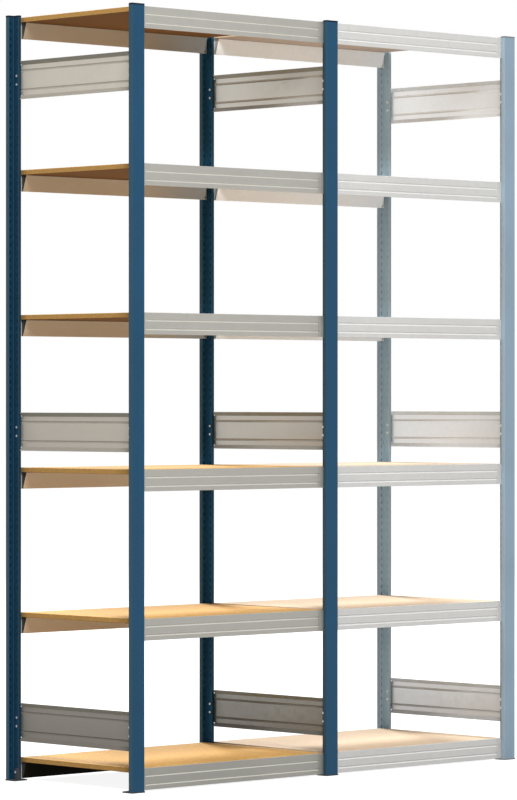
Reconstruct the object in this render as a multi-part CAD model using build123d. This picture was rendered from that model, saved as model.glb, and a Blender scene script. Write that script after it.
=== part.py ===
from build123d import *
import os

os.makedirs("parts", exist_ok=True)

# Wide span shelving unit: a starter bay and an add-on bay that share the middle frame.
# Millimetres. +X runs along the bays, +Y to the rear, +Z up.
# The origin is on the floor, under the middle of the rack.

# The rack as a whole
bay_names = ("starter", "addon")
frame_names = ("left", "middle", "right")
bay_pitch = 865
rack_depth = 620
slot_pitch = 25
lowest_slot = 30
hook_drop = 20
level_slots = (0, 19, 38, 58, 77, 97)
seat_gap = 0.3
cut_overrun = 5

# Uprights: smooth outer face, two slotted lips, a narrow stem towards the rack's inside
post_width = 54
post_box_depth = 16
stem_width = 12
stem_depth = 25
post_sheet = 1.8
post_bend = 2.5
stem_seam = 1.5
slot_width = 4
slot_height = 12
slot_inset = 8

# Caps on the uprights
cap_height = 5
cap_overhang = 0.6
cap_edge = 1.2
cap_plug_length = 18
cap_plug_gap = 0.4

# Base plates with an upstand tab on the stem
foot_thickness = 4
foot_side_margin = 2
foot_front_margin = 3
foot_back_margin = 6
foot_corner = 5
tab_thickness = 3
tab_height = 36
tab_inset = 8
tab_corner = 6
anchor_hole = 9
anchor_side_offset = 16
anchor_inset = 17
foot_bolt_inset = 16
foot_bolt_rise = 28

# Side braces, bolted to the stems
brace_slots = (0, 38, 84)
lowest_brace = 130
brace_height = 125
brace_sheet = 1.2
brace_flare_width = 9
brace_flare_height = 13
brace_crease_rise = 31
brace_crease_depth = 2
brace_crease_half = 4
brace_end_inset = 4
brace_flare_clearance = 2
brace_bolt_spread = 28
brace_bolt_inset = 18

# Bolts and nuts of the frames
bolt_diameter = 5
bolt_hole = 6
bolt_length = 20
hex_across_flats = 8
bolt_head_height = 3.5
nut_height = 4
hex_edge = 0.4

# Beams with end connectors
beam_height = 70
beam_depth = 24
beam_bottom_depth = 6
beam_sheet = 1.5
beam_lip = 3
beam_bend = 1.2
groove_drops = (24.5, 52.5)
groove_depth = 3
groove_height = 7
connector_sheet = 2
connector_reach = 15
end_plate = 3
hook_width = 3
hook_neck = 8
hook_tongue = 5
hook_thickness = 2.5
hook_play = 0.2
lock_hole = 6
lock_hole_rise = 8
lock_hole_inset = 11

# Shelf boards
board_thickness = 16
board_end_gap = 20
board_edge_gap = 1.5
board_arris = 0.8

# Places that follow from these
frame_xs = [(i - (len(frame_names) - 1) / 2) * bay_pitch for i in range(len(frame_names))]
bay_xs = [(i - (len(bay_names) - 1) / 2) * bay_pitch for i in range(len(bay_names))]
hook_rises = [lowest_slot + slot * slot_pitch for slot in level_slots]
level_tops = [rise + slot_pitch + hook_drop for rise in hook_rises]
brace_bottoms = [lowest_brace + slot * slot_pitch for slot in brace_slots]
post_top = level_tops[-1]
slot_count = level_slots[-1] + 2
stem_end = post_box_depth + stem_depth
beam_face = post_box_depth + connector_sheet
ledge_drop = board_thickness + seat_gap
bolt_row = post_box_depth + brace_bolt_inset
brace_bolt_rises = [
    bottom + brace_height / 2 + side * brace_bolt_spread / 2
    for bottom in brace_bottoms
    for side in (-1, 1)
]


def block(x_range, y_range, z_range):
    """A box between two corners."""
    (x0, x1), (y0, y1), (z0, z1) = x_range, y_range, z_range
    return Pos(x0, y0, z0) * Box(x1 - x0, y1 - y0, z1 - z0, align=Align.MIN)


def across(diameter, length, x0, y, z):
    """A round bar along X that starts at x0."""
    return Pos(x0, y, z) * Rot(0, 90, 0) * Cylinder(diameter / 2, length, align=(Align.CENTER, Align.CENTER, Align.MIN))


def place(piece, x, is_rear):
    """Put a piece that was built behind the front plane at the front or, mirrored, at the rear."""
    if is_rear:
        return Pos(x, rack_depth / 2, 0) * mirror(piece, about=Plane.XZ)
    return Pos(x, -rack_depth / 2, 0) * piece


def turn(piece, x, is_rear):
    """Put a piece that was built behind the rear plane at the rear or, turned half round, at the front."""
    if is_rear:
        return Pos(x, rack_depth / 2, 0) * piece
    return Pos(x, -rack_depth / 2, 0) * Rot(0, 0, 180) * piece


def save(piece, name):
    export_step(piece, f"parts/{name}.step")


def post_outline():
    """The upright's outer outline, closed across the stem's end."""
    half = post_width / 2
    stem = stem_width / 2
    points = [
        (-half, 0), (half, 0), (half, post_box_depth), (stem, post_box_depth),
        (stem, stem_end), (-stem, stem_end), (-stem, post_box_depth), (-half, post_box_depth),
    ]
    outline = make_face(Polyline(*points, close=True))
    return fillet(outline.vertices(), post_bend)


def upright():
    """A post with a row of slots in each lip, its bolt holes and the seam along the stem's end."""
    outline = post_outline()
    wall = outline - offset(outline, -post_sheet)
    post = Pos(0, 0, foot_thickness) * extrude(wall, post_top - foot_thickness)
    seam = block(
        (-stem_seam / 2, stem_seam / 2),
        (stem_end - post_sheet - stem_seam, stem_end + cut_overrun),
        (0, post_top + cut_overrun),
    )
    cuts = [seam]
    lip_cut = Box(slot_width, post_sheet + cut_overrun, slot_height)
    slot_x = post_width / 2 - slot_inset
    for i in range(slot_count):
        rise = lowest_slot + i * slot_pitch
        cuts.append(Pos(-slot_x, post_box_depth, rise) * lip_cut)
        cuts.append(Pos(slot_x, post_box_depth, rise) * lip_cut)
    hole_length = stem_width + cut_overrun
    for rise in brace_bolt_rises:
        cuts.append(across(bolt_hole, hole_length, -hole_length / 2, bolt_row, rise))
    foot_row = post_box_depth + foot_bolt_inset
    cuts.append(across(bolt_hole, hole_length, -hole_length / 2, foot_row, foot_bolt_rise))
    return post - cuts


def post_cap():
    """A moulded cap over the post's end, with a plug in the box part."""
    lid = extrude(offset(post_outline(), cap_overhang), cap_height)
    lid = fillet(lid.faces().sort_by(Axis.Z)[-1].edges(), cap_edge)
    wall = post_sheet + cap_plug_gap
    half = post_width / 2 - post_bend
    plug = block((-half, half), (wall, post_box_depth - wall), (-cap_plug_length, 0))
    return Pos(0, 0, post_top) * (lid + plug)


def foot():
    """A base plate with an anchor hole and a tab that is bolted to the stem, as it lies at the rear."""
    half = post_width / 2 + foot_side_margin
    inner = -stem_end - foot_back_margin
    plate = block((-half, half), (inner, foot_front_margin), (0, foot_thickness))
    plate = fillet(plate.edges().filter_by(Axis.Z), foot_corner)
    stem_side = -stem_width / 2
    tab = block(
        (stem_side - tab_thickness, stem_side),
        (inner, -post_box_depth - tab_inset),
        (0, foot_thickness + tab_height),
    )
    tab = fillet(tab.edges().filter_by(Axis.X).sort_by(Axis.Z)[-2:], tab_corner)
    anchor_y = -post_box_depth - anchor_inset
    drill = Pos(anchor_side_offset, anchor_y, 0) * Cylinder(anchor_hole / 2, foot_thickness + cut_overrun)
    drill = Pos(0, 0, foot_thickness / 2) * drill
    bolt_y = -post_box_depth - foot_bolt_inset
    bolt_cut = across(bolt_hole, tab_thickness + cut_overrun, stem_side - tab_thickness, bolt_y, foot_bolt_rise)
    bolt_cut = Pos(-cut_overrun / 2, 0, 0) * bolt_cut
    return plate + tab - drill - bolt_cut


def brace_section():
    """The brace's sheet, seen along the rack's depth: flared edges and two creases."""
    flare_top = brace_height - brace_flare_height
    crease_top = brace_height - brace_crease_rise
    points = [
        (-brace_flare_width, 0),
        (0, brace_flare_height),
        (0, brace_crease_rise - brace_crease_half),
        (brace_crease_depth, brace_crease_rise),
        (0, brace_crease_rise + brace_crease_half),
        (0, crease_top - brace_crease_half),
        (brace_crease_depth, crease_top),
        (0, crease_top + brace_crease_half),
        (0, flare_top),
        (-brace_flare_width, brace_height),
    ]
    back = [(x + brace_sheet, z) for x, z in reversed(points)]
    return make_face(Polyline(*points, *back, close=True))


def side_brace():
    """A rolled panel from stem to stem, its flared edges cut back at both stems."""
    start = post_box_depth + brace_end_inset
    length = rack_depth - 2 * start
    panel = extrude(Plane.XZ * brace_section(), length / 2, both=True)
    panel = Pos(stem_width / 2, 0, 0) * panel
    notch_end = rack_depth / 2 - stem_end - brace_flare_clearance
    cuts = []
    for side in (-1, 1):
        for low in (-cut_overrun, brace_height - brace_flare_height):
            near = side * notch_end
            far = side * (rack_depth / 2)
            cuts.append(block(
                (-stem_width, stem_width + cut_overrun),
                (min(near, far), max(near, far)),
                (low, low + brace_flare_height + cut_overrun),
            ))
        for spread in (-1, 1):
            rise = brace_height / 2 + spread * brace_bolt_spread / 2
            hole_y = side * (rack_depth / 2 - bolt_row)
            cuts.append(across(bolt_hole, stem_width + cut_overrun, 0, hole_y, rise))
    return panel - cuts


def hex_bar(length, y, z):
    """A hexagonal bar along X from x = 0, its outer end broken."""
    outline = RegularPolygon(hex_across_flats / 2, 6, major_radius=False)
    bar = extrude(outline, length)
    bar = chamfer(bar.faces().sort_by(Axis.Z)[-1].edges(), hex_edge)
    return Pos(0, y, z) * Rot(0, 90, 0) * bar


def bolt(seat_x, y, z):
    """A hex bolt that comes from the -X side, its head's seat at seat_x."""
    head = mirror(hex_bar(bolt_head_height, 0, 0), about=Plane.YZ)
    shank = across(bolt_diameter, bolt_length, 0, 0, 0)
    return Pos(seat_x, y, z) * (head + shank)


def nut(seat_x, y, z):
    """A hex nut on the bolt's thread, seated at seat_x."""
    body = hex_bar(nut_height, 0, 0)
    body -= across(bolt_diameter, nut_height + cut_overrun, -cut_overrun / 2, 0, 0)
    return Pos(seat_x, y, z) * body


def beam_outline():
    """The beam's outer outline: grooved face, lip, ledge and sloping back, closed below."""
    groove_half = groove_height / 2
    points = [(0, 0), (beam_lip, 0), (beam_lip, -ledge_drop), (beam_depth, -ledge_drop)]
    points += [(beam_bottom_depth, -beam_height), (0, -beam_height)]
    for drop in sorted(groove_drops, reverse=True):
        points += [(0, -drop - groove_half), (groove_depth, -drop), (0, -drop + groove_half)]
    outline = make_face(Polyline(*points, close=True))
    return fillet(outline.vertices(), beam_bend)


def beam_hollow():
    """The room inside the rolled section, below the ledge."""
    groove_half = groove_height / 2
    points = [(0, -ledge_drop), (beam_depth, -ledge_drop), (beam_bottom_depth, -beam_height), (0, -beam_height)]
    for drop in sorted(groove_drops, reverse=True):
        points += [(0, -drop - groove_half), (groove_depth, -drop), (0, -drop + groove_half)]
    return offset(make_face(Polyline(*points, close=True)), -beam_sheet)


def beam_end_shape():
    """The plate that closes the section's end, up to the ledge."""
    points = [(0, -ledge_drop), (beam_depth, -ledge_drop), (beam_bottom_depth, -beam_height), (0, -beam_height)]
    return make_face(Polyline(*points, close=True))


def connector(side):
    """One end connector: a leaf on the post's lip with two hooks, and the plate on the beam's end."""
    frame_x = side * bay_pitch / 2

    def span(near, far):
        """Two distances from the frame's middle towards the bay, as ordered places."""
        ends = (frame_x - side * near, frame_x - side * far)
        return min(ends), max(ends)

    leaf_start = stem_width / 2 + post_bend + seat_gap
    leaf = block(
        span(leaf_start, post_width / 2 + seat_gap + end_plate + connector_reach),
        (post_box_depth, beam_face),
        (-beam_height, 0),
    )
    hole_x = frame_x - side * (post_width / 2 - lock_hole_inset)
    drill = Pos(hole_x, post_box_depth, lock_hole_rise - beam_height)
    leaf -= drill * Rot(90, 0, 0) * Cylinder(lock_hole / 2, connector_sheet + cut_overrun)
    pieces = [leaf]
    plate_start, _ = span(post_width / 2 + seat_gap, post_width / 2 + seat_gap + end_plate)
    plate = extrude(Plane.YZ * beam_end_shape(), end_plate)
    pieces.append(Pos(plate_start, beam_face, 0) * plate)
    slot_x = frame_x - side * (post_width / 2 - slot_inset)
    hook_xs = (slot_x - hook_width / 2, slot_x + hook_width / 2)
    tongue_back = post_box_depth - post_sheet - hook_play
    for drop in (hook_drop, hook_drop + slot_pitch):
        floor = -drop - slot_height / 2
        neck_y = (tongue_back - hook_thickness, post_box_depth)
        pieces.append(block(hook_xs, neck_y, (floor, floor + hook_neck)))
        tongue_y = (tongue_back - hook_thickness, tongue_back)
        pieces.append(block(hook_xs, tongue_y, (floor - hook_tongue, floor + hook_neck)))
    return pieces


def beam():
    """A rolled beam with a connector welded to each end; its top edge at z = 0."""
    end_x = bay_pitch / 2 - post_width / 2 - seat_gap - end_plate
    wall = beam_outline() - beam_hollow()
    body = extrude(Plane.YZ * wall, end_x, both=True)
    body = Pos(0, beam_face, 0) * body
    return body + connector(-1) + connector(1)


def board():
    """A chipboard panel that lies on the ledges of a front and a rear beam; its top at z = 0."""
    length = bay_pitch - 2 * board_end_gap
    depth = rack_depth - 2 * (beam_face + beam_lip + board_edge_gap)
    panel = Box(length, depth, board_thickness, align=(Align.CENTER, Align.CENTER, Align.MAX))
    return chamfer(panel.edges(), board_arris)


post_shape = upright()
cap_shape = post_cap()
foot_shape = foot()
brace_shape = side_brace()
beam_shape = beam()
board_shape = board()

caps = []
bolts = []
nuts = []
stem_side = stem_width / 2
foot_bolt_row = post_box_depth + foot_bolt_inset
for frame_name, frame_x in zip(frame_names, frame_xs):
    for row_name, is_rear in (("front", False), ("rear", True)):
        save(place(post_shape, frame_x, is_rear), f"upright_{row_name}_{frame_name}")
        save(turn(foot_shape, frame_x, is_rear), f"foot_{row_name}_{frame_name}")
        caps.append(place(cap_shape, frame_x, is_rear))
        for rise in brace_bolt_rises:
            bolts.append(place(bolt(-stem_side, bolt_row, rise), frame_x, is_rear))
            nuts.append(place(nut(stem_side + brace_sheet, bolt_row, rise), frame_x, is_rear))
        bolts.append(turn(bolt(-stem_side - tab_thickness, -foot_bolt_row, foot_bolt_rise), frame_x, is_rear))
        nuts.append(turn(nut(stem_side, -foot_bolt_row, foot_bolt_rise), frame_x, is_rear))
    for brace_name, bottom in zip(("bottom", "middle", "top"), brace_bottoms):
        save(Pos(frame_x, 0, bottom) * brace_shape, f"side_brace_{frame_name}_{brace_name}")

for bay_name, bay_x in zip(bay_names, bay_xs):
    for level, top in enumerate(level_tops, start=1):
        save(Pos(0, 0, top) * place(beam_shape, bay_x, False), f"beam_front_{bay_name}_{level}")
        save(Pos(0, 0, top) * place(beam_shape, bay_x, True), f"beam_rear_{bay_name}_{level}")
        save(Pos(bay_x, 0, top) * board_shape, f"board_{bay_name}_{level}")

save(Compound(children=caps), "post_caps")
save(Compound(children=bolts), "frame_bolts")
save(Compound(children=nuts), "frame_nuts")
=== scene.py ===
import math

import bmesh
import bpy
from bpy.props import FloatProperty, FloatVectorProperty, PointerProperty
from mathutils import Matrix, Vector


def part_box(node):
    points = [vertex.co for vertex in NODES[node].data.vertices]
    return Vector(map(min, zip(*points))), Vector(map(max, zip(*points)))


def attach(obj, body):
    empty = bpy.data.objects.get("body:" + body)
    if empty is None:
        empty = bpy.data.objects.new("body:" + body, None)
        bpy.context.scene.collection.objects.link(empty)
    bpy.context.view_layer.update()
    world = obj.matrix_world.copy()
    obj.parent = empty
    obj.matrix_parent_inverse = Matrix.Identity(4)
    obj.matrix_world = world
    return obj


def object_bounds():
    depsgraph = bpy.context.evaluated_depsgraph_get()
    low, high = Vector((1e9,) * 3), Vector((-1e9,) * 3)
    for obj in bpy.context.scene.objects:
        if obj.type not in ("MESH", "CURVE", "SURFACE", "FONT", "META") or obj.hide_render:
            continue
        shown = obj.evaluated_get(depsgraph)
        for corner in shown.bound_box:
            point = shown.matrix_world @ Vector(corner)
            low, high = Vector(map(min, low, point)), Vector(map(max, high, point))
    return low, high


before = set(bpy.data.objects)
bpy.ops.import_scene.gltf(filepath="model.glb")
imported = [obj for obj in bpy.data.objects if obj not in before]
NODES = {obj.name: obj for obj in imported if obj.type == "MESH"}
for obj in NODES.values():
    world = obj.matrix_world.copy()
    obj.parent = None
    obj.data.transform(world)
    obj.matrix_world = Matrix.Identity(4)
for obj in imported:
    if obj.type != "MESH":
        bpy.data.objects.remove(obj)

bl_info = {
    "name": "Wide Span Shelving Unit",
    "version": (1, 0, 0),
    "blender": (4, 5, 0),
    "location": "3D View > Sidebar > Rack",
    "description": "Finishes a two-bay rack: painted posts, galvanised beams, chipboard shelves",
    "category": "Object",
}

CAD_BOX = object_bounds()
FRAME_NAMES = ("left", "middle", "right")

# The photograph's height in pixels, that of the camera's sensor in millimetres, and how far it sees
PHOTO_HEIGHT = 800
SENSOR = 36.0
CAMERA_REACH = 200.0

# A slot's dark dish of painted shade: corners, how square it is, height of its rim, and the room
# around it
SLOT_SIDES = 12
SLOT_SQUARE = 0.5
SLOT_LIFT = 0.0003
SLOT_MARGIN = 0.012

# Places on the rack: from frame to frame, then from the rack's middle to the front or rear
POST_PITCH = 0.865
GROOVE_BACK = 0.2875
END_PLATE_FRONT = 0.2915
BOX_INNER = 0.2935

# Inside of a post's box, which gets painted shade: nearest and farthest from the rack's middle, and
# half its width
POST_INSIDE = (0.2955, 0.3085, 0.0255)

# Heights above the floor from which and to which a tone comes in
FLOOR_REACH = (0.30, 0.08)
FRONT_SHADE_REACH = (0.3, 1.0)
BACK_REACH = (0.5, 2.5)

# Share of the bay along which the beams' backs take on the tone of their right ends
BAY_REACH = (0.5, 1.0)

# X or Z of the normal, or its size, from which and to which a face counts as turned that way
LOOKS_LEFT = (-0.5, -0.9)
LOOKS_RIGHT = (0.3, 0.8)
LOOKS_UP = (0.15, 0.6)
BEAM_DOWN = (-0.1, -0.3)
BRACE_DOWN = (-0.36, -0.56)
GROOVE_FLANK = (-0.15, -0.6)
FLANGE_SLOPE = (0.2, 0.4)
SHEET_END = (0.7, 0.9)
BOLT_FLAT = (0.8, 0.95)
BOARD_EDGE = (0.8, 0.3)
BOARD_UNDER = (-0.3, -0.8)
BOARD_TOP = (0.3, 0.8)

# A connector leaf's inner face looks back at the rack's middle: its normal's Y times its place's Y
LEAF_INNER = -0.2

# Tones of details, in times the finish that they are part of: rubbed edges, crystals and chips,
# painted shade on beam ends, brace tops, faces near the floor and bolt flanks, and painted light on
# connector leaves and beam tops
RUBBED_PAINT = 1.7
RUBBED_PAINT_LIFT = 0.05
RUBBED_ZINC = 1.25
CRYSTAL_TONES = (0.975, 1.02)
END_SHADE_TONE = 0.12
LEAF_GLINT = 1.7
TOP_GLINT = 1.9
FLANGE_TOP_SHADE = 0.4
FLOOR_LOW_SHADE = 0.03
BOLT_FLANK_SHADE = 0.2
PALE_FLECK = 1.28

# How much rougher or smoother than their mean the crystals are
CRYSTAL_GLOSS = (-0.06, 0.07)

# Zinc crystals: how far their borders are pushed about, and how much of a fine grain they have
CRYSTAL_PUSH = 0.004
CRYSTAL_GRAIN = 0.15

# Slow changes of tone: width of a patch and how much its tone changes
PAINT_STAINS = {"Size": 0.25, "Depth": 0.16}
ZINC_STAINS = {"Size": 0.4, "Depth": 0.06}
BOLT_STAINS = {"Size": 0.004, "Depth": 0.12}
BOARD_STAINS = {"Size": 0.35, "Depth": 0.12}

# Rubbed edges of metal: how far they reach and how much of them is rubbed
ZINC_WEAR = {"Width": 0.0008, "Amount": 0.35}
BOLT_WEAR = {"Width": 0.0005, "Amount": 0.3}

# How far a rounded normal leaves the true one at a rubbed edge, and noise where it is rubbed
EDGE_TURN = (0.01, 0.12)
RUBBED_NOISE = (0.42, 0.62)

# How fine the patterns are, in repeats to a metre
RUBBED_GRAIN = 38.0
PUSH_GRAIN = 60.0
SHEET_GRAIN = 900.0
CAP_GRAIN = 1500.0
BOLT_GRAIN = 2000.0

# The finest relief of a finish: its depth and its strength
PAINT_RELIEF = (0.0001, 0.25)
BOLT_RELIEF = (0.00003, 0.3)
BOARD_RELIEF = (0.0002, 0.35)
CAP_RELIEF = (0.00005, 0.3)
CRYSTAL_DEPTH = 0.00005

# How strongly paint, board and plastic reflect, and how rough the plastic is
PAINT_SHEEN = 0.2
BOARD_SHEEN = 0.14
CAP_SHEEN = 0.12
CAP_ROUGHNESS = 0.6

# Random values between which chips turn dark or pale, and the most that either cover
DARK_VALUES = (0.55, 0.05)
PALE_VALUES = (0.72, 0.9)
DARK_CHIPS = 0.38
PALE_FLECKS = 0.5

# Two layers of chips: how far each is turned, and how long its chips are
CHIP_LAYERS = ((0.6, 3.2), (2.1, 2.6))

# The floor: half its width, how far it lies under the feet, its tone, roughness and white glow
FLOOR_HALF = 60.0
FLOOR_DROP = 0.0005
FLOOR_TONE = (0.34, 0.34, 0.34, 1.0)
FLOOR_ROUGHNESS = 0.9
FLOOR_GLOW = 0.90

# Lamps: place, size, the setting with their watts, and where they look if not at the middle
LAMPS = {
    "key_lamp": ((-5.0, -7.5, 8.0), 3.5, "key_power", None),
    "side_lamp": ((-3.6, 0.3, 4.2), 1.5, "side_power", (-0.8, 0.0, 2.0)),
    "back_lamp": ((4.0, 8.5, 8.5), 2.6, "back_power", None),
}


def colour(name, text, rgb):
    """A setting that is a colour."""
    return FloatVectorProperty(
        name=name, description=text, subtype="COLOR", size=3, min=0.0, max=1.0, default=rgb
    )


def length(name, text, metres):
    """A setting that is a size."""
    return FloatProperty(
        name=name, description=text, subtype="DISTANCE", unit="LENGTH", min=0.0, default=metres
    )


def amount(name, text, value):
    """A setting from nought to one."""
    return FloatProperty(
        name=name, description=text, subtype="FACTOR", min=0.0, max=1.0, default=value
    )


def watts(name, text, power):
    """A setting that is a lamp's power."""
    return FloatProperty(name=name, description=text, subtype="POWER", default=power)


class PaintSettings(bpy.types.PropertyGroup):
    """Powder coat of the posts and base plates, and the caps' plastic."""

    post_blue: colour("Post blue", "Paint of the starter bay's posts", (0.010, 0.062, 0.126))
    faded_blue: colour("Faded blue", "Paint of the add-on bay's posts", (0.268, 0.362, 0.448))
    # Rear posts: painted shade on the left one, a darker copy of the front posts' blue, and painted
    # light on the middle and right ones, lighter copies
    rear_blue: colour("Rear blue", "Paint of the left frame's rear post", (0.005, 0.034, 0.066))
    inner_blue: colour("Inner blue", "The same for the middle frame", (0.012, 0.086, 0.180))
    faded_rear: colour("Faded rear", "The same for the right frame", (0.460, 0.640, 0.770))
    # Painted light: the posts' faces to the rack's left take a lighter, greyer blue
    side_lit_blue: colour("Side blue", "Posts' faces to the rack's left", (0.024, 0.067, 0.098))
    faded_side_lit: colour("Faded side", "The same in the add-on bay", (0.340, 0.430, 0.490))
    plate_black: colour("Plate black", "Paint of the base plates", (0.045, 0.048, 0.052))
    faded_plate: colour("Faded plate", "The same in the add-on bay", (0.230, 0.232, 0.236))
    cap_black: colour("Cap black", "Plastic of the post caps", (0.006, 0.010, 0.014))
    # Painted shade: the dark tone of the stems' slot dishes and of the posts' insides
    slot_dark: colour("Slot dark", "Shade inside the stems' slots", (0.002, 0.008, 0.016))
    faded_slot: colour("Faded slot", "The same in the add-on bay", (0.370, 0.505, 0.600))
    gloss: amount("Roughness", "Roughness of the coat", 0.45)
    wear: amount("Edge wear", "How much of the edges is rubbed lighter", 0.35)
    wear_width: length("Wear width", "How far the wear reaches from an edge", 0.0012)
    peel_size: length("Orange peel", "Size of the coat's ripple", 0.0018)


class SlotSettings(bpy.types.PropertyGroup):
    """The slot rows in the sides of the posts' stems."""

    slot_pitch: length("Slot pitch", "From one slot to the next", 0.025)
    lowest_slot: length("Lowest slot", "Middle of the lowest slot above the floor", 0.030)
    slot_width: length("Slot width", "Width of a slot", 0.004)
    slot_height: length("Slot height", "Height of a slot", 0.012)
    stem_width: length("Stem width", "Width of the post's stem", 0.012)
    stem_end_to_slots: length("Slot inset", "From the stem's end to the slots' middle", 0.007)


class ZincSettings(bpy.types.PropertyGroup):
    """Galvanised sheet of the beams and braces, and plated bolts."""

    # Painted light: the middle frame's braces are a lighter copy of the left frame's sheet, and the
    # right frame's lighter still on top of the add-on bay's paler finish
    brace_zinc: colour("Brace zinc", "Sheet of the left frame's braces", (0.536, 0.493, 0.425))
    inner_zinc: colour("Inner zinc", "The same for the middle frame", (0.585, 0.568, 0.518))
    faded_zinc: colour("Faded zinc", "The same for the right frame", (0.885, 0.888, 0.880))
    # Painted shade: the braces' faces that look down take a darker tone
    brace_under: colour("Brace under", "Braces' faces that look down", (0.275, 0.258, 0.208))
    inner_under: colour("Inner under", "The same for the middle frame", (0.340, 0.352, 0.325))
    faded_under: colour("Faded under", "The same for the right frame", (0.700, 0.745, 0.775))
    metal: amount("Metal", "How metallic the left frame's braces look", 0.5)
    inner_metal: amount("Inner metal", "The same for the other frames' shinier braces", 0.75)
    # Painted shade on the braces' faces that look up
    brace_top_shade: amount("Brace top shade", "How dull the left braces' faces that look up are", 0.6)
    inner_top_shade: amount("Inner top shade", "The same for the middle frame", 0.3)
    faded_top_shade: amount("Faded top shade", "The same for the right frame", 0.12)
    # Painted shade: the middle and right braces darken towards the front
    front_shade: amount("Front shade", "How much the inner braces' tone falls towards the front", 0.12)
    # Painted shade on the braces' faces to the right
    right_shade: amount("Right shade", "How dull the braces' faces to the right are", 0.3)
    flange_gloss: amount("Flange roughness", "Roughness of the braces' sloping flanges", 0.8)
    # Painted shade: how much darker the lowest braces are painted
    brace_low_shade: amount("Brace low shade", "How much duller the lowest braces are", 0.7)
    faded_brace_low_shade: amount("Faded brace low shade", "The same for the right frame", 0.364)

    beam_zinc: colour("Beam zinc", "Sheet of the starter bay's beams", (0.400, 0.390, 0.352))
    faded_beam: colour("Faded beam", "Sheet of the add-on bay's beams", (0.618, 0.613, 0.592))
    # Painted reflection and shade: the beams' sloping backs take the boards' brown, shifting along
    # the bay and darker on higher beams; the add-on beams' are lighter
    beam_back: colour("Beam back", "Starter beams' sloping backs", (0.580, 0.465, 0.325))
    back_end: colour("Back end", "The same towards their right ends", (0.345, 0.356, 0.347))
    faded_back: colour("Faded back", "Add-on beams' sloping backs", (0.950, 0.990, 1.000))
    faded_back_end: colour("Faded back end", "Towards their right ends", (0.870, 0.930, 0.980))
    back_shade: amount("Back shade", "How much darker the top starter beams' backs are", 0.29)
    beam_metal: amount("Beam metal", "How metallic the starter beams' skin looks", 0.45)
    faded_metal: amount("Faded metal", "How metallic the add-on beams' skin looks", 0.15)
    # Painted highlight on the beams' faces that look up and on the grooves' upper flanks
    top_highlight: amount("Top highlight", "How bright the beams' faces that look up are", 0.7)
    faded_highlight: amount("Faded highlight", "The same for the add-on bay's beams", 0.45)
    groove_highlight: amount("Groove highlight", "How much of that the grooves' upper flanks take", 0.4)
    # Painted shade on the beams' ends
    end_shade: amount("End shade", "How dark the starter beams' cut ends are", 1.0)
    faded_end_shade: amount("Faded end shade", "The same for the add-on bay's beams", 0.3)
    # Painted shade on the beams' backs just above the floor
    floor_low_shade: amount("Floor low shade", "How dark the starter beams' backs near the floor are", 1.0)
    faded_low_shade: amount("Faded low shade", "The same for the add-on bay's beams", 0.35)
    # Painted shade: how much darker the lowest beams are painted
    beam_low_shade: amount("Beam low shade", "How much duller the lowest starter beams are", 0.08)
    faded_beam_low_shade: amount("Faded beam low shade", "The same for the add-on beams", 0.04)

    # Painted shade: how much darker the sheet is painted just above the floor, and the heights
    # where the painted shade towards the floor ends
    floor_band_shade: amount("Floor band shade", "How dull the sheet is just above the floor", 0.15)
    shade_top_height: length("Shade top height", "Above the floor, where the grime ends", 1.6)
    faded_shade_top: length("Faded shade top height", "The same for the right frame's braces", 2.3)
    spangle: length("Spangle", "Width of a zinc crystal", 0.014)
    relief: amount("Relief", "How much the crystals stand out", 0.3)
    inner_relief: amount("Inner relief", "The same for the shinier braces", 0.08)
    gloss: amount("Roughness", "Mean roughness of the sheet", 0.42)
    inner_gloss: amount("Inner roughness", "The same for the shinier braces", 0.37)

    # Painted light: the middle and right frames' bolts take a whiter plating than the left frame's
    bolt_zinc: colour("Bolt zinc", "Plating of the left frame's bolts", (0.400, 0.455, 0.510))
    inner_bolt: colour("Inner bolt", "Plating of the other bolts", (0.800, 0.870, 0.950))


class BoardSettings(bpy.types.PropertyGroup):
    """Chipboard of the shelves."""

    chip_tan: colour("Chip tan", "Mean colour of the starter boards", (0.870, 0.500, 0.145))
    chip_dark: colour("Chip dark", "Dark chips of the starter boards", (0.200, 0.100, 0.032))
    faded_tan: colour("Faded tan", "Mean colour of the add-on boards", (0.830, 0.635, 0.425))
    faded_dark: colour("Faded dark", "Dark chips of the add-on boards", (0.560, 0.470, 0.410))
    chip_size: length("Chip size", "Length of a surface chip", 0.004)
    gloss: amount("Roughness", "Roughness of the sanded face", 0.68)
    # Raw board and painted shade: how far the underside and cut edges turn to the dark chips' tone
    raw_tone: amount("Raw tone", "How much of the dark chips' tone the underside has", 1.0)
    cut_tone: amount("Cut tone", "How much of that the cut edges have", 0.52)
    faded_cut: amount("Faded cut", "The same for the add-on bay's boards", 0.2)
    raw: amount("Raw roughness", "Roughness of the raw underside and edges", 0.95)


class StageSettings(bpy.types.PropertyGroup):
    """Camera, floor and lights."""

    azimuth: FloatProperty(
        name="Azimuth", description="Camera's turn to the rack's left", subtype="ANGLE",
        default=math.radians(43.702),
    )
    distance: length("Distance", "From the camera to the rack's middle, along the view", 13.712)
    aside: length("Aside", "From the view's middle to the rack's middle", 0.0305)
    eye: length("Eye height", "Camera above the floor", 1.2541)
    lens: FloatProperty(name="Lens", description="Focal length in millimetres", default=182.98)
    horizon_px: FloatProperty(
        name="Horizon", description="Horizon above the picture's middle, pixels", default=2.47
    )
    key_power: watts("Key", "Watts of the high front lamp", 1150.0)
    side_power: watts("Side", "Watts of the high left lamp", 20.0)
    back_power: watts("Back", "Watts of the high rear lamp", 1500.0)
    sky: amount("Sky", "Strength of the even room light", 0.40)


def new_material(name):
    """A node material, its node tree and its Principled shader."""
    material = bpy.data.materials.new(name)
    material.use_nodes = True
    return material, material.node_tree, material.node_tree.nodes["Principled BSDF"]


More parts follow.
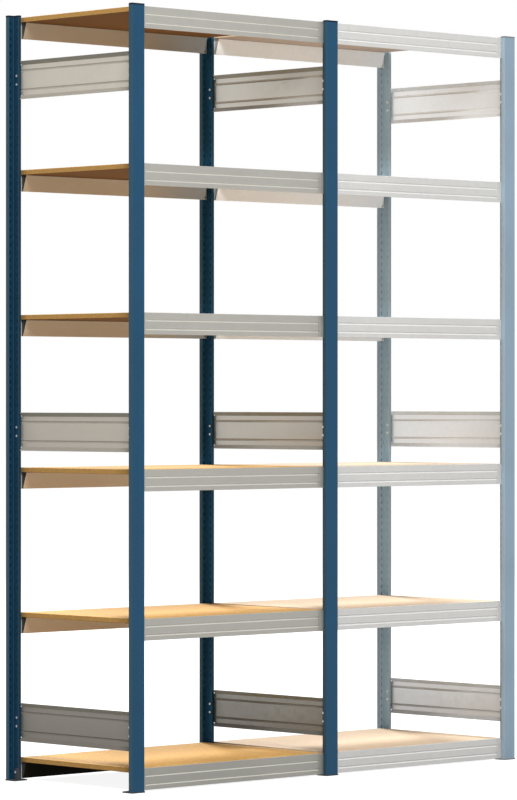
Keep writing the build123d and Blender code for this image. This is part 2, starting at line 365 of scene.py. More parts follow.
def new_group(name, inputs, outputs):
    """A shader node group with named number sockets, what it is given and what it puts out."""
    group = bpy.data.node_groups.new(name, "ShaderNodeTree")
    for socket, value in inputs.items():
        made = group.interface.new_socket(
            name=socket, in_out="INPUT", socket_type="NodeSocketFloat"
        )
        made.default_value = value
    for socket in outputs:
        group.interface.new_socket(name=socket, in_out="OUTPUT", socket_type="NodeSocketFloat")
    given = group.nodes.new("NodeGroupInput").outputs
    return group, given, group.nodes.new("NodeGroupOutput").inputs


def add_node(tree, kind, values=(), **facts):
    """A node with its properties and unlinked inputs set."""
    node = tree.nodes.new(kind)
    for key, value in facts.items():
        setattr(node, key, value)
    for key, value in dict(values).items():
        node.inputs[key].default_value = value
    return node


def feed(tree, value, entry):
    """Link a socket to an input, or set the input to a plain value."""
    if isinstance(value, bpy.types.NodeSocket):
        tree.links.new(value, entry)
    else:
        entry.default_value = value


def add_math(tree, operation, first, second=0.0):
    """A math node on two sockets or numbers, and its output."""
    node = add_node(tree, "ShaderNodeMath", operation=operation)
    feed(tree, first, node.inputs[0])
    feed(tree, second, node.inputs[1])
    return node.outputs[0]


def times(tree, first, *others):
    """The product of a socket with others or with numbers."""
    for other in others:
        first = add_math(tree, "MULTIPLY", first, other)
    return first


def rest_of(tree, share):
    """One less a share."""
    return add_math(tree, "SUBTRACT", 1.0, share)


def add_mix(tree, factor, first, second):
    """A mix of two colours, sockets or plain ones, and its output."""
    node = add_node(tree, "ShaderNodeMix", data_type="RGBA")
    entries = {socket.name: socket for socket in node.inputs if socket.enabled}
    feed(tree, factor, entries["Factor"])
    for key, rgb in (("A", first), ("B", second)):
        linked = isinstance(rgb, bpy.types.NodeSocket)
        feed(tree, rgb if linked else (*rgb, 1.0), entries[key])
    return next(socket for socket in node.outputs if socket.enabled)


def add_scale(tree, rgb, factor):
    """A colour, socket or plain, made brighter or darker by a socket."""
    node = add_node(tree, "ShaderNodeVectorMath", operation="SCALE")
    feed(tree, rgb, node.inputs[0])
    tree.links.new(factor, node.inputs["Scale"])
    return node.outputs["Vector"]


def add_range(tree, source, old, new, **facts):
    """A socket's values moved from one range to another."""
    values = {"From Min": old[0], "From Max": old[1], "To Min": new[0], "To Max": new[1]}
    node = add_node(tree, "ShaderNodeMapRange", values, **facts)
    tree.links.new(source, node.inputs["Value"])
    return node.outputs["Result"]


def add_ramp(tree, source, low, high):
    """A smooth 0 to 1 step between two values of a socket."""
    return add_range(tree, source, (low, high), (0.0, 1.0), interpolation_type="SMOOTHSTEP")


def object_place(tree):
    """Where a point lies on its object."""
    return add_node(tree, "ShaderNodeTexCoord").outputs["Object"]


def surface_normal(tree):
    """Which way the surface looks."""
    return add_node(tree, "ShaderNodeNewGeometry").outputs["Normal"]


def split(tree, vector):
    """A vector's X, Y and Z."""
    node = add_node(tree, "ShaderNodeSeparateXYZ")
    tree.links.new(vector, node.inputs["Vector"])
    return node.outputs


def add_noise(tree, place, scale, values=()):
    """Noise at a place, with a socket or a number for its scale."""
    node = add_node(tree, "ShaderNodeTexNoise", values)
    tree.links.new(place, node.inputs["Vector"])
    feed(tree, scale, node.inputs["Scale"])
    return node.outputs


def add_cells(tree, place, scale):
    """Irregular cells at a place, each with random values of its own."""
    cells = add_node(tree, "ShaderNodeTexVoronoi", {"Randomness": 1.0})
    tree.links.new(place, cells.inputs["Vector"])
    tree.links.new(scale, cells.inputs["Scale"])
    values = add_node(tree, "ShaderNodeSeparateColor")
    tree.links.new(cells.outputs["Color"], values.inputs["Color"])
    return values.outputs


def tint(rgb, factor, lift=0.0):
    """A plain colour made brighter or darker."""
    return [min(1.0, part * factor + lift) for part in rgb]


def edge_wear_group():
    """Mask of rubbed edges: where a rounded normal leaves the true one, broken up by noise."""
    group, given, result = new_group("Edge Wear", {"Width": 0.001, "Amount": 0.5}, ["Mask"])
    rounded = add_node(group, "ShaderNodeBevel", samples=4)
    group.links.new(given["Width"], rounded.inputs["Radius"])
    along = add_node(group, "ShaderNodeVectorMath", operation="DOT_PRODUCT")
    group.links.new(rounded.outputs["Normal"], along.inputs[0])
    group.links.new(surface_normal(group), along.inputs[1])
    edge = add_ramp(group, rest_of(group, along.outputs["Value"]), *EDGE_TURN)
    values = {"Detail": 4.0, "Roughness": 0.6}
    patches = add_noise(group, object_place(group), RUBBED_GRAIN, values)
    rubbed = add_ramp(group, patches["Fac"], *RUBBED_NOISE)
    group.links.new(times(group, edge, rubbed, given["Amount"]), result["Mask"])
    return group


def mottle_group():
    """Slow change of tone over a surface, about one."""
    group, given, result = new_group("Mottle", {"Size": 0.1, "Depth": 0.05}, ["Tone"])
    scale = add_math(group, "DIVIDE", 1.0, given["Size"])
    pattern = add_noise(group, object_place(group), scale, {"Detail": 3.0, "Roughness": 0.55})
    swing = times(group, add_math(group, "SUBTRACT", pattern["Fac"], 0.5), given["Depth"], 2.0)
    group.links.new(add_math(group, "ADD", swing, 1.0), result["Tone"])
    return group


def spangle_group():
    """Zinc crystals with a fine grain: a tone and a height for each crystal."""
    group, given, result = new_group("Spangle", {"Size": 0.012}, ["Tone", "Height"])
    place = object_place(group)
    warp = add_noise(group, place, PUSH_GRAIN, {"Detail": 2.0})
    push = {1: (CRYSTAL_PUSH, CRYSTAL_PUSH, CRYSTAL_PUSH)}
    pushed = add_node(group, "ShaderNodeVectorMath", push, operation="MULTIPLY_ADD")
    group.links.new(warp["Color"], pushed.inputs[0])
    group.links.new(place, pushed.inputs[2])
    scale = add_math(group, "DIVIDE", 1.0, given["Size"])
    crystal = add_cells(group, pushed.outputs["Vector"], scale)
    fine = add_noise(group, place, SHEET_GRAIN, {"Detail": 2.0})
    grain = times(group, fine["Fac"], CRYSTAL_GRAIN)
    group.links.new(add_math(group, "ADD", crystal["Red"], grain), result["Tone"])
    group.links.new(add_math(group, "ADD", crystal["Green"], grain), result["Height"])
    return group


def chips_group():
    """Pressed wood chips: a tone for the chips, a fleck mask and a height."""
    group, given, result = new_group("Chips", {"Size": 0.004}, ["Chips", "Flecks", "Height"])
    place = object_place(group)
    scale = add_math(group, "DIVIDE", 1.0, given["Size"])
    layers = []
    for turn, stretch in CHIP_LAYERS:
        values = {"Rotation": (0.0, 0.0, turn), "Scale": (1.0, stretch, 1.0)}
        laid = add_node(group, "ShaderNodeMapping", values)
        group.links.new(place, laid.inputs["Vector"])
        layers.append(add_cells(group, laid.outputs["Vector"], scale))
    lower, upper = layers
    chips = times(group, lower["Red"], upper["Red"])
    flecks = times(group, lower["Green"], upper["Green"])
    rough = add_noise(group, place, scale, {"Detail": 3.0})
    group.links.new(chips, result["Chips"])
    group.links.new(add_ramp(group, flecks, *PALE_VALUES), result["Flecks"])
    group.links.new(add_math(group, "ADD", rough["Fac"], chips), result["Height"])
    return group


GROUP_MAKERS = {
    "Edge Wear": edge_wear_group,
    "Mottle": mottle_group,
    "Spangle": spangle_group,
    "Chips": chips_group,
}


def shared(tree, name, values):
    """The outputs of a shared effect in a material, built the first time it is asked for."""
    node = tree.nodes.new("ShaderNodeGroup")
    node.node_tree = bpy.data.node_groups.get(name) or GROUP_MAKERS[name]()
    for key, value in values.items():
        node.inputs[key].default_value = value
    return node.outputs


def add_bump(tree, shader, height, depth, strength):
    """A bump of a height socket on the shader's normal."""
    bump = add_node(tree, "ShaderNodeBump", {"Strength": strength, "Distance": depth})
    tree.links.new(height, bump.inputs["Height"])
    tree.links.new(bump.outputs["Normal"], shader.inputs["Normal"])


def post_inside_shade(tree):
    """Mask of the posts' insides, which get painted shade."""
    spot = split(tree, object_place(tree))
    limits = {1: POST_PITCH / 2, 2: -POST_PITCH / 2}
    wrapped = add_node(tree, "ShaderNodeMath", limits, operation="WRAP")
    tree.links.new(spot["X"], wrapped.inputs[0])
    aside = add_math(tree, "ABSOLUTE", wrapped.outputs[0])
    depth = add_math(tree, "ABSOLUTE", spot["Y"])
    near, far, half = POST_INSIDE
    return times(
        tree,
        add_math(tree, "GREATER_THAN", depth, near),
        add_math(tree, "LESS_THAN", depth, far),
        add_math(tree, "LESS_THAN", aside, half),
    )


def left_faces(tree):
    """Mask of the posts' faces that look to the rack's left, but not the stems', which get painted
    light.
    """
    depth = add_math(tree, "ABSOLUTE", split(tree, object_place(tree))["Y"])
    boxed = add_math(tree, "GREATER_THAN", depth, BOX_INNER)
    leftward = add_ramp(tree, split(tree, surface_normal(tree))["X"], *LOOKS_LEFT)
    return times(tree, leftward, boxed)


def paint(name, rgb, settings, inside=None, side=None):
    """Powder coat with a fine ripple, a slow change of tone and rubbed edges.

    inside is the painted shade within a post, and side the painted light on its faces to the rack's
    left.
    """
    material, tree, shader = new_material(name)
    tone = shared(tree, "Mottle", PAINT_STAINS)["Tone"]
    coat = add_mix(tree, left_faces(tree), rgb, side) if side else rgb
    coat = add_scale(tree, coat, tone)
    worn = shared(tree, "Edge Wear", {"Width": settings.wear_width, "Amount": settings.wear})
    coat = add_mix(tree, worn["Mask"], coat, tint(rgb, RUBBED_PAINT, RUBBED_PAINT_LIFT))
    # Painted shade inside the post's box
    if inside:
        coat = add_mix(tree, post_inside_shade(tree), coat, inside)
    tree.links.new(coat, shader.inputs["Base Color"])
    tree.links.new(times(tree, tone, settings.gloss), shader.inputs["Roughness"])
    shader.inputs["Specular IOR Level"].default_value = PAINT_SHEEN
    peel = add_noise(tree, object_place(tree), 1.0 / settings.peel_size, {"Detail": 1.0})
    add_bump(tree, shader, peel["Fac"], *PAINT_RELIEF)
    return material


def beam_back(tree, spot, start, end, shade):
    """Colour of a beam's back, a painted reflection of the boards with painted shade, from start to
    end along the bay and darker on higher beams.
    """
    bays = add_math(tree, "DIVIDE", spot["X"], POST_PITCH)
    along = add_ramp(tree, add_math(tree, "FRACT", bays), *BAY_REACH)
    tone = add_range(tree, spot["Z"], BACK_REACH, (1.0, 1.0 - shade))
    return add_scale(tree, add_mix(tree, along, start, end), tone)


def plated(name, near, far, settings):
    """Plating of the small bolts and nuts: near on the left frame, and a whiter far on the others
    that is painted light.

    Their flanks get painted shade, but not on the right frame, where they are too small to show.
    """
    material, tree, shader = new_material(name)
    place = object_place(tree)
    along = split(tree, place)["X"]
    beyond = add_math(tree, "GREATER_THAN", along, -POST_PITCH / 2)
    across = add_math(tree, "ABSOLUTE", split(tree, surface_normal(tree))["X"])
    bright = add_math(
        tree,
        "MAXIMUM",
        add_ramp(tree, across, *BOLT_FLAT),
        add_math(tree, "GREATER_THAN", along, POST_PITCH / 2),
    )
    tone = shared(tree, "Mottle", BOLT_STAINS)["Tone"]
    skin = add_mix(tree, bright, tint(near, BOLT_FLANK_SHADE), add_mix(tree, beyond, near, far))
    skin = add_scale(tree, skin, tone)
    worn = shared(tree, "Edge Wear", BOLT_WEAR)
    tree.links.new(add_mix(tree, worn["Mask"], skin, near), shader.inputs["Base Color"])
    tree.links.new(times(tree, tone, settings.gloss), shader.inputs["Roughness"])
    shader.inputs["Metallic"].default_value = settings.beam_metal
    add_bump(tree, shader, add_noise(tree, place, BOLT_GRAIN)["Fac"], *BOLT_RELIEF)
    return material


def brace_tone(tree, spot, normal, settings, shiny):
    """Tone of a brace, about one: painted shade on its right face and, if shiny, painted shade
    towards the front.
    """
    rightward = add_ramp(tree, normal["X"], *LOOKS_RIGHT)
    tone = rest_of(tree, times(tree, rightward, settings.right_shade))
    if shiny:
        swing = times(tree, spot["Y"], settings.front_shade / BOX_INNER)
        swing = times(tree, swing, add_ramp(tree, spot["Z"], *FRONT_SHADE_REACH))
        tone = times(tree, tone, add_math(tree, "ADD", swing, 1.0))
    return tone


def beam_ends(tree, skin, rgb, spot, normal, end_shade):
    """A beam's skin with painted shade on its ends and painted light on the inner faces of the
    connectors' leaves.
    """
    depth = add_math(tree, "ABSOLUTE", spot["Y"])
    inside = add_math(tree, "LESS_THAN", depth, END_PLATE_FRONT)
    endways = add_ramp(tree, add_math(tree, "ABSOLUTE", normal["X"]), *SHEET_END)
    skin = add_mix(tree, times(tree, endways, inside, end_shade), skin, tint(rgb, END_SHADE_TONE))
    inward = add_math(tree, "LESS_THAN", times(tree, normal["Y"], spot["Y"]), LEAF_INNER)
    leaf = times(tree, inward, rest_of(tree, inside))
    return add_mix(tree, leaf, skin, tint(rgb, LEAF_GLINT))


def zinc(name, rgb, settings, *, under, metal, top, low_shade, shade_top, shiny=False, back=None):
    """Galvanised sheet: crystals that differ in tone and gloss and slow stains, with painted shade
    and painted highlight.

    under      tone of the faces that look down, painted shade; on a beam its back at the left end,
               a painted reflection of the boards
    metal      how metallic the skin looks
    top        how much the faces that look up change: painted highlight on a beam, shade on a brace
    low_shade  how much darker the sheet is painted at the floor than up where that painted shade
    ends shade_top  height above the floor where that painted shade ends
    shiny      the smoother skin of the middle and right frames' braces
    back       a beam's back at the right end, its painted shade at the top level, how much painted
               shade it has near the floor, and how much painted shade its ends get; none for a
               brace
    """
    material, tree, shader = new_material(name)
    normal = split(tree, surface_normal(tree))
    spot = split(tree, object_place(tree))
    looks_down = under
    floor_shade = 1.0
    if back:
        back_end, back_shade, floor_shade, end_shade = back
        looks_down = beam_back(tree, spot, under, back_end, back_shade)

    # Faces that look down, which get painted shade, and how near the floor they are
    depth = add_math(tree, "ABSOLUTE", spot["Y"])
    behind = add_math(tree, "LESS_THAN", depth, GROOVE_BACK)
    below = add_ramp(tree, normal["Z"], *(BEAM_DOWN if back else BRACE_DOWN))
    below = times(tree, below, behind)
    low = add_ramp(tree, spot["Z"], *FLOOR_REACH)
    near_floor = times(tree, below, low, floor_shade)

    # Crystals, stains and rubbed edges, with the painted shade and light noted at each step
    cells = shared(tree, "Spangle", {"Size": settings.spangle})
    stains = shared(tree, "Mottle", ZINC_STAINS)
    tone = times(tree, add_range(tree, cells["Tone"], (0.0, 1.0), CRYSTAL_TONES), stains["Tone"])
    # Painted shade on a brace's right face and, if shiny, towards the front
    if not back:
        tone = times(tree, tone, brace_tone(tree, spot, normal, settings, shiny))
    # Painted shade: the sheet darkens towards the floor, and more in a band just above it
    height_tone = add_range(tree, spot["Z"], (0.0, shade_top), (1.0 - low_shade, 1.0))
    band_tone = rest_of(tree, times(tree, low, settings.floor_band_shade * floor_shade))
    skin = add_scale(tree, rgb, times(tree, height_tone, band_tone))
    # Painted shade on faces that look down, on a beam's back a painted reflection of the boards
    skin = add_scale(tree, add_mix(tree, below, skin, looks_down), tone)
    worn = shared(tree, "Edge Wear", ZINC_WEAR)
    skin = add_mix(tree, worn["Mask"], skin, tint(rgb, RUBBED_ZINC))
    # Painted shade on a beam's ends and painted light on its connector leaves
    if back:
        skin = beam_ends(tree, skin, rgb, spot, normal, end_shade)
    # Painted shade: faces that look down just above the floor turn almost black
    skin = add_mix(tree, near_floor, skin, tint(under, FLOOR_LOW_SHADE))

    # Painted highlight on a beam's faces that look up and its grooves' upper flanks; painted shade
    # on a brace's faces that look up
    flank = add_ramp(tree, normal["Z"], *GROOVE_FLANK)
    flank = times(tree, flank, settings.groove_highlight, rest_of(tree, behind))
    lit = add_math(tree, "MAXIMUM", add_ramp(tree, normal["Z"], *LOOKS_UP), flank)
    lit = times(tree, lit, top) if back else times(tree, lit, top, height_tone)
    lit_tone = tint(rgb, TOP_GLINT if back else FLANGE_TOP_SHADE)
    tree.links.new(add_mix(tree, lit, skin, lit_tone), shader.inputs["Base Color"])

    # Gloss and relief
    mean = settings.inner_gloss if shiny else settings.gloss
    gloss_range = [mean + change for change in CRYSTAL_GLOSS]
    rough = add_range(tree, cells["Tone"], (0.0, 1.0), gloss_range)
    rough = add_math(tree, "MAXIMUM", rough, near_floor)
    if not back:
        sloping = add_ramp(tree, add_math(tree, "ABSOLUTE", normal["Z"]), *FLANGE_SLOPE)
        rough = add_math(tree, "MAXIMUM", rough, times(tree, sloping, settings.flange_gloss))
    tree.links.new(rough, shader.inputs["Roughness"])
    tree.links.new(add_math(tree, "MAXIMUM", near_floor, metal), shader.inputs["Metallic"])
    relief = settings.inner_relief if shiny else settings.relief
    add_bump(tree, shader, cells["Height"], CRYSTAL_DEPTH, relief)
    return material


def chipboard(name, tan, dark, settings, cut):
    """Sanded chipboard with a rougher underside and cut edges, darker partly as raw board and
    partly as painted shade.
    """
    material, tree, shader = new_material(name)
    chips = shared(tree, "Chips", {"Size": settings.chip_size})
    stains = shared(tree, "Mottle", BOARD_STAINS)
    dark_share = times(tree, add_ramp(tree, chips["Chips"], *DARK_VALUES), DARK_CHIPS)
    face = add_mix(tree, dark_share, tan, dark)
    face = add_mix(tree, times(tree, chips["Flecks"], PALE_FLECKS), face, tint(tan, PALE_FLECK))
    face = add_scale(tree, face, stains["Tone"])
    # Underside and cut edges turn towards the dark chips: raw board, with painted shade
    rise = split(tree, surface_normal(tree))["Z"]
    edge = add_ramp(tree, add_math(tree, "ABSOLUTE", rise), *BOARD_EDGE)
    under = add_ramp(tree, rise, *BOARD_UNDER)
    raw = times(tree, add_math(tree, "ADD", times(tree, edge, cut), under), settings.raw_tone)
    tree.links.new(add_mix(tree, raw, face, dark), shader.inputs["Base Color"])
    sanded = add_ramp(tree, rise, *BOARD_TOP)
    rough = add_range(tree, sanded, (0.0, 1.0), (settings.raw, settings.gloss))
    tree.links.new(rough, shader.inputs["Roughness"])
    shader.inputs["Specular IOR Level"].default_value = BOARD_SHEEN
    add_bump(tree, shader, chips["Height"], *BOARD_RELIEF)
    return material


def plastic(name, settings):
    """Matt black moulded plastic with a fine grain, paler on the right frame."""
    material, tree, shader = new_material(name)
    place = object_place(tree)
    right_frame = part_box("upright_front_right")[0].x
    faded = add_math(tree, "GREATER_THAN", split(tree, place)["X"], right_frame / 2)
    skin = add_mix(tree, faded, settings.cap_black, settings.faded_plate)
    tree.links.new(skin, shader.inputs["Base Color"])
    shader.inputs["Roughness"].default_value = CAP_ROUGHNESS
    shader.inputs["Specular IOR Level"].default_value = CAP_SHEEN
    add_bump(tree, shader, add_noise(tree, place, CAP_GRAIN)["Fac"], *CAP_RELIEF)
    return material


def dress(prefixes, material, faded=None):
    """Give the CAD nodes whose names start so their material, the add-on bay's a faded one."""
    found = 0
    for name, node in NODES.items():
        if not name.startswith(prefixes):
            continue
        own = faded if faded and ("_right" in name or "_addon_" in name) else material
        node.data.materials.clear()
        node.data.materials.append(own)
        found += 1
    if not found:
        raise RuntimeError("no CAD node is named " + " or ".join(prefixes))


def squared(part):
    """A sine or cosine moved out towards the corners of a slot."""
    return math.copysign(abs(part) ** SLOT_SQUARE, part)


def slot_dish(mesh, centre, side, width, height):
    """A thin dark dish on a stem's left or right face, painted shade where a slot is: a narrow rim
    that drops to a floor.
    """
    across, up, outward = Vector((0, side, 0)), Vector((0, 0, 1)), Vector((side, 0, 0))
    rings = []
    for shrink, lift in ((0.0, 0.0), (0.0, SLOT_LIFT), (SLOT_LIFT, SLOT_LIFT / 2)):
        ring = []
        for k in range(SLOT_SIDES):
            turn = math.tau * (k + 0.5) / SLOT_SIDES
            y = squared(math.cos(turn)) * (width / 2 - shrink)
            z = squared(math.sin(turn)) * (height / 2 - shrink)
            ring.append(mesh.verts.new(centre + across * y + up * z + outward * lift))
        rings.append(ring)
    for low, high in zip(rings, rings[1:]):
        for k in range(SLOT_SIDES):
            after = (k + 1) % SLOT_SIDES
            mesh.faces.new((low[k], low[after], high[after], high[k]))
    mesh.faces.new(rings[-1])
    mesh.faces.new(rings[0][::-1])


def stem_slots(row, frame_name, settings):
    """The slot rows, as dark dishes of painted shade, along both sides of one post's stem, clear of
    its foot and braces.
    """
    low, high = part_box(f"upright_{row}_{frame_name}")
    middle_x = (low.x + high.x) / 2
    inset = settings.stem_end_to_slots
    slot_y = high.y - inset if row == "front" else low.y + inset
    braces = [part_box(f"side_brace_{frame_name}_{place}") for place in ("bottom", "middle", "top")]
    covered = [(brace[0].z - SLOT_MARGIN, brace[1].z + SLOT_MARGIN) for brace in braces]
    foot_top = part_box(f"foot_{row}_{frame_name}")[1].z
    mesh = bmesh.new()
    rise = settings.lowest_slot
    while rise < high.z - settings.slot_height:
        clear = all(not bottom < rise < top for bottom, top in covered)
        if clear and rise > foot_top + SLOT_MARGIN:
            for side in (-1, 1):
                centre = Vector((middle_x + side * settings.stem_width / 2, slot_y, rise))
                slot_dish(mesh, centre, side, settings.slot_width, settings.slot_height)
        rise += settings.slot_pitch
    name = f"stem_slots_{row}_{frame_name}"
    data = bpy.data.meshes.new(name)
    bmesh.ops.recalc_face_normals(mesh, faces=mesh.faces)
    mesh.to_mesh(data)
    mesh.free()
    piece = bpy.data.objects.new(name, data)
    bpy.context.scene.collection.objects.link(piece)
    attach(piece, "rack")
    return piece


class RACK_OT_posts(bpy.types.Operator):
    """Paint the six posts blue, the add-on bay's own two paler"""

    bl_idname = "rack.posts"
    bl_label = "Posts"

    def execute(self, context):
        settings = context.scene.rack_paint
        # Painted shade for the posts' insides and painted light for their faces to the left
        near = (settings, settings.slot_dark, settings.side_lit_blue)
        faded = (settings, settings.faded_slot, settings.faded_side_lit)
        dress(
            ("upright_front",),
            paint("post_blue", settings.post_blue, *near),
            paint("post_faded_blue", settings.faded_blue, *faded),
        )
        # The rear posts take the blues with painted shade (left) and painted light (middle and
        # right)
        dress(("upright_rear_left",), paint("post_rear_blue", settings.rear_blue, *near))
        dress(("upright_rear_middle",), paint("post_inner_blue", settings.inner_blue, *near))
        dress(("upright_rear_right",), paint("post_faded_rear", settings.faded_rear, *faded))
        return {"FINISHED"}


class RACK_OT_slots(bpy.types.Operator):
    """Lay the slot rows along the sides of the posts' stems as thin dark dishes of painted shade"""

    bl_idname = "rack.slots"
    bl_label = "Stem slots"

    def execute(self, context):
        paints = context.scene.rack_paint
        dark = paint("slot_dark", paints.slot_dark, paints)
        faded = paint("slot_faded", paints.faded_slot, paints)
        for frame_name in FRAME_NAMES:
            for row in ("front", "rear"):
                piece = stem_slots(row, frame_name, context.scene.rack_slots)
                pale = frame_name == "right"
                piece.data.materials.append(faded if pale else dark)
        return {"FINISHED"}


class RACK_OT_feet(bpy.types.Operator):
    """Paint the base plates and their tabs"""

    bl_idname = "rack.feet"
    bl_label = "Base plates"

    def execute(self, context):
        settings = context.scene.rack_paint
        dress(
            ("foot_",),
            paint("plate_black", settings.plate_black, settings),
            paint("plate_faded", settings.faded_plate, settings),
        )
        return {"FINISHED"}


class RACK_OT_caps(bpy.types.Operator):
    """Finish the moulded caps on the posts"""

    bl_idname = "rack.caps"
    bl_label = "Post caps"

    def execute(self, context):
        dress(("post_caps",), plastic("cap_plastic", context.scene.rack_paint))
        return {"FINISHED"}


class RACK_OT_braces(bpy.types.Operator):
    """Finish the galvanised side braces, frame by frame"""

    bl_idname = "rack.braces"
    bl_label = "Side braces"

    def execute(self, context):
        settings = context.scene.rack_zinc
        # Each frame's braces take their own sheet: the middle and right ones lighter, as painted
        # light, and all with painted shade on faces that look down, up and to the right and towards
        # the floor
        left = zinc(
            "brace_zinc", settings.brace_zinc, settings,
            under=settings.brace_under, metal=settings.metal, top=settings.brace_top_shade,
            low_shade=settings.brace_low_shade, shade_top=settings.shade_top_height,
        )
        middle = zinc(
            "brace_inner_zinc", settings.inner_zinc, settings,
            under=settings.inner_under, metal=settings.inner_metal, top=settings.inner_top_shade,
            low_shade=settings.brace_low_shade, shade_top=settings.shade_top_height, shiny=True,
        )
        right = zinc(
            "brace_faded_zinc", settings.faded_zinc, settings,
            under=settings.faded_under, metal=settings.inner_metal, top=settings.faded_top_shade,
            low_shade=settings.faded_brace_low_shade, shade_top=settings.faded_shade_top, shiny=True,
        )
        for frame_name, sheet in zip(FRAME_NAMES, (left, middle, right)):
            dress((f"side_brace_{frame_name}",), sheet)
        return {"FINISHED"}


class RACK_OT_beams(bpy.types.Operator):
    """Finish the galvanised beams, the add-on bay's paler"""

    bl_idname = "rack.beams"
    bl_label = "Beams"

    def execute(self, context):
        settings = context.scene.rack_zinc
        # The beams' sheet carries painted highlight on faces that look up, a painted reflection
        # with shade on the backs, and painted shade at the ends and near the floor
        near = zinc(
            "beam_zinc", settings.beam_zinc, settings,
            under=settings.beam_back, metal=settings.beam_metal, top=settings.top_highlight,
            low_shade=settings.beam_low_shade, shade_top=settings.shade_top_height,
            back=(
                settings.back_end, settings.back_shade,
                settings.floor_low_shade, settings.end_shade,
            ),
        )
        faded = zinc(
            "beam_faded_zinc", settings.faded_beam, settings,
            under=settings.faded_back, metal=settings.faded_metal, top=settings.faded_highlight,
            low_shade=settings.faded_beam_low_shade, shade_top=settings.shade_top_height,
            back=(
                settings.faded_back_end, 0.0,
                settings.faded_low_shade, settings.faded_end_shade,
            ),
        )
        dress(("beam_",), near, faded)
        return {"FINISHED"}


class RACK_OT_fasteners(bpy.types.Operator):
    """Finish the plated bolts and nuts"""

    bl_idname = "rack.fasteners"
    bl_label = "Bolts and nuts"

    def execute(self, context):
        settings = context.scene.rack_zinc
        plating = plated("bolt_zinc", settings.bolt_zinc, settings.inner_bolt, settings)
        dress(("frame_bolts", "frame_nuts"), plating)
        return {"FINISHED"}


class RACK_OT_boards(bpy.types.Operator):
    """Finish the chipboard shelves"""

    bl_idname = "rack.boards"
    bl_label = "Shelf boards"

    def execute(self, context):
        settings = context.scene.rack_board
        near = (settings.chip_tan, settings.chip_dark, settings, settings.cut_tone)
        faded = (settings.faded_tan, settings.faded_dark, settings, settings.faded_cut)
        dress(("board_",), chipboard("board_tan", *near), chipboard("board_faded_tan", *faded))
        return {"FINISHED"}


def rays_to_the_eye(tree):
    """One for rays that the camera sees, straight on, by gloss or through glass, else nought."""
    rays = add_node(tree, "ShaderNodeLightPath").outputs
    seen = add_math(tree, "MAXIMUM", rays["Is Camera Ray"], rays["Is Glossy Ray"])
    return add_math(tree, "MAXIMUM", seen, rays["Is Transmission Ray"])


def make_floor():
    """A wide floor that takes the rack's shadow, with a glow that makes it white to the eye."""
    mesh = bpy.data.meshes.new("floor")
    corners = ((-1, -1), (1, -1), (1, 1), (-1, 1))
    places = [(x * FLOOR_HALF, y * FLOOR_HALF, -FLOOR_DROP) for x, y in corners]
    mesh.from_pydata(places, [], [(0, 1, 2, 3)])
    floor = bpy.data.objects.new("floor", mesh)
    bpy.context.scene.collection.objects.link(floor)
    material, tree, shader = new_material("floor_white")
    shader.inputs["Base Color"].default_value = FLOOR_TONE
    shader.inputs["Roughness"].default_value = FLOOR_ROUGHNESS
    shader.inputs["Specular IOR Level"].default_value = 0.0
    glow = add_node(tree, "ShaderNodeEmission")
    tree.links.new(times(tree, rays_to_the_eye(tree), FLOOR_GLOW), glow.inputs["Strength"])
    both = add_node(tree, "ShaderNodeAddShader")
    tree.links.new(shader.outputs[0], both.inputs[0])
    tree.links.new(glow.outputs[0], both.inputs[1])
    tree.links.new(both.outputs[0], tree.nodes["Material Output"].inputs["Surface"])
    mesh.materials.append(material)


def make_world(strength):
    """Even room light that the eye sees as white."""
    world = bpy.data.worlds.new("studio")
    bpy.context.scene.world = world
    world.use_nodes = True
    tree = world.node_tree
    back = tree.nodes["Background"]
    back.inputs["Color"].default_value = (1.0, 1.0, 1.0, 1.0)
    gap = times(tree, rays_to_the_eye(tree), 1.0 - strength)
    tree.links.new(add_math(tree, "ADD", gap, strength), back.inputs["Strength"])


def make_lamp(name, place, target, size, power):
    """A square soft box that looks at a point."""
    lamp = bpy.data.lights.new(name, "AREA")
    lamp.size = size
    lamp.energy = power
    holder = bpy.data.objects.new(name, lamp)
    holder.location = place
    holder.rotation_euler = (Vector(target) - Vector(place)).to_track_quat("-Z", "Y").to_euler()
    bpy.context.scene.collection.objects.link(holder)


def make_camera(settings):
    """The photograph's view: level, from the front left."""
    camera = bpy.data.cameras.new("camera")
    camera.sensor_fit = "VERTICAL"
    camera.sensor_height = SENSOR
    camera.lens = settings.lens
    camera.shift_y = -settings.horizon_px / PHOTO_HEIGHT
    camera.clip_end = CAMERA_REACH
    ahead = Vector((math.sin(settings.azimuth), math.cos(settings.azimuth), 0))
    right = Vector((ahead.y, -ahead.x, 0))
    eye = Vector((0, 0, settings.eye))
    holder = bpy.data.objects.new("camera", camera)
    holder.location = eye - ahead * settings.distance - right * settings.aside
    holder.rotation_euler = (math.pi / 2, 0, -settings.azimuth)
    bpy.context.scene.collection.objects.link(holder)
    bpy.context.scene.camera = holder


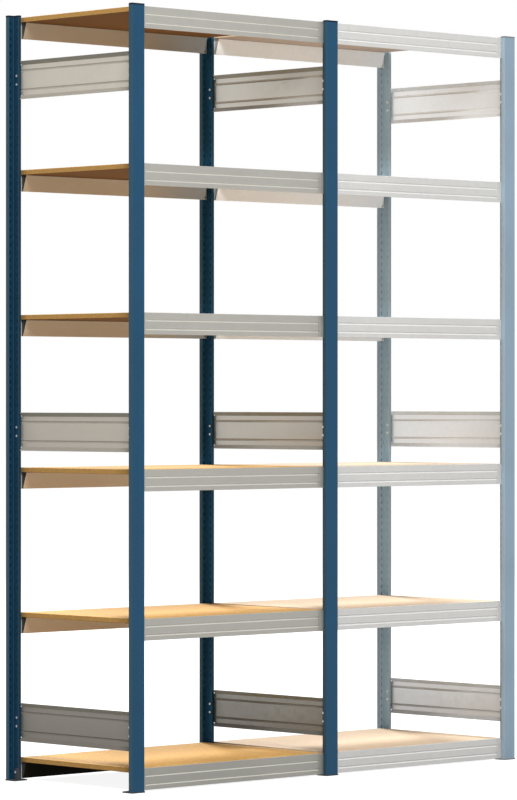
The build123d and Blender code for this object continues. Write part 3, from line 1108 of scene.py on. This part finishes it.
class RACK_OT_stage(bpy.types.Operator):
    """Set up the floor, the studio light and the camera"""

    bl_idname = "rack.stage"
    bl_label = "Stage"

    def execute(self, context):
        settings = context.scene.rack_stage
        context.scene.view_settings.view_transform = "Standard"
        make_floor()
        make_world(settings.sky)
        middle = (CAD_BOX[0] + CAD_BOX[1]) / 2
        for name, (place, size, power, target) in LAMPS.items():
            make_lamp(name, place, target or middle, size, getattr(settings, power))
        make_camera(settings)
        return {"FINISHED"}


class RACK_PT_panel(bpy.types.Panel):
    """The rack's finishes, in the order they are made"""

    bl_label = "Wide Span Rack"
    bl_idname = "RACK_PT_panel"
    bl_space_type = "VIEW_3D"
    bl_region_type = "UI"
    bl_category = "Rack"

    def draw(self, context):
        for operator in OPERATORS:
            self.layout.operator(operator.bl_idname)
        for group in GROUPS:
            settings = getattr(context.scene, group)
            for key in settings.__annotations__:
                self.layout.prop(settings, key)


OPERATORS = (
    RACK_OT_posts,
    RACK_OT_slots,
    RACK_OT_feet,
    RACK_OT_caps,
    RACK_OT_braces,
    RACK_OT_beams,
    RACK_OT_fasteners,
    RACK_OT_boards,
    RACK_OT_stage,
)
GROUPS = {
    "rack_paint": PaintSettings,
    "rack_slots": SlotSettings,
    "rack_zinc": ZincSettings,
    "rack_board": BoardSettings,
    "rack_stage": StageSettings,
}


def register():
    """Make the settings, operators and panel known."""
    for group in GROUPS.values():
        bpy.utils.register_class(group)
    for key, group in GROUPS.items():
        setattr(bpy.types.Scene, key, PointerProperty(type=group))
    for operator in OPERATORS:
        bpy.utils.register_class(operator)
    bpy.utils.register_class(RACK_PT_panel)


def unregister():
    """Take them away again."""
    bpy.utils.unregister_class(RACK_PT_panel)
    for operator in reversed(OPERATORS):
        bpy.utils.unregister_class(operator)
    for key, group in GROUPS.items():
        delattr(bpy.types.Scene, key)
        bpy.utils.unregister_class(group)


def main():
    """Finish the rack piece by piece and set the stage."""
    register()
    bpy.ops.rack.posts()
    bpy.ops.rack.slots()
    bpy.ops.rack.feet()
    bpy.ops.rack.caps()
    bpy.ops.rack.braces()
    bpy.ops.rack.beams()
    bpy.ops.rack.fasteners()
    bpy.ops.rack.boards()
    bpy.ops.rack.stage()


if __name__ == "__main__":
    main()
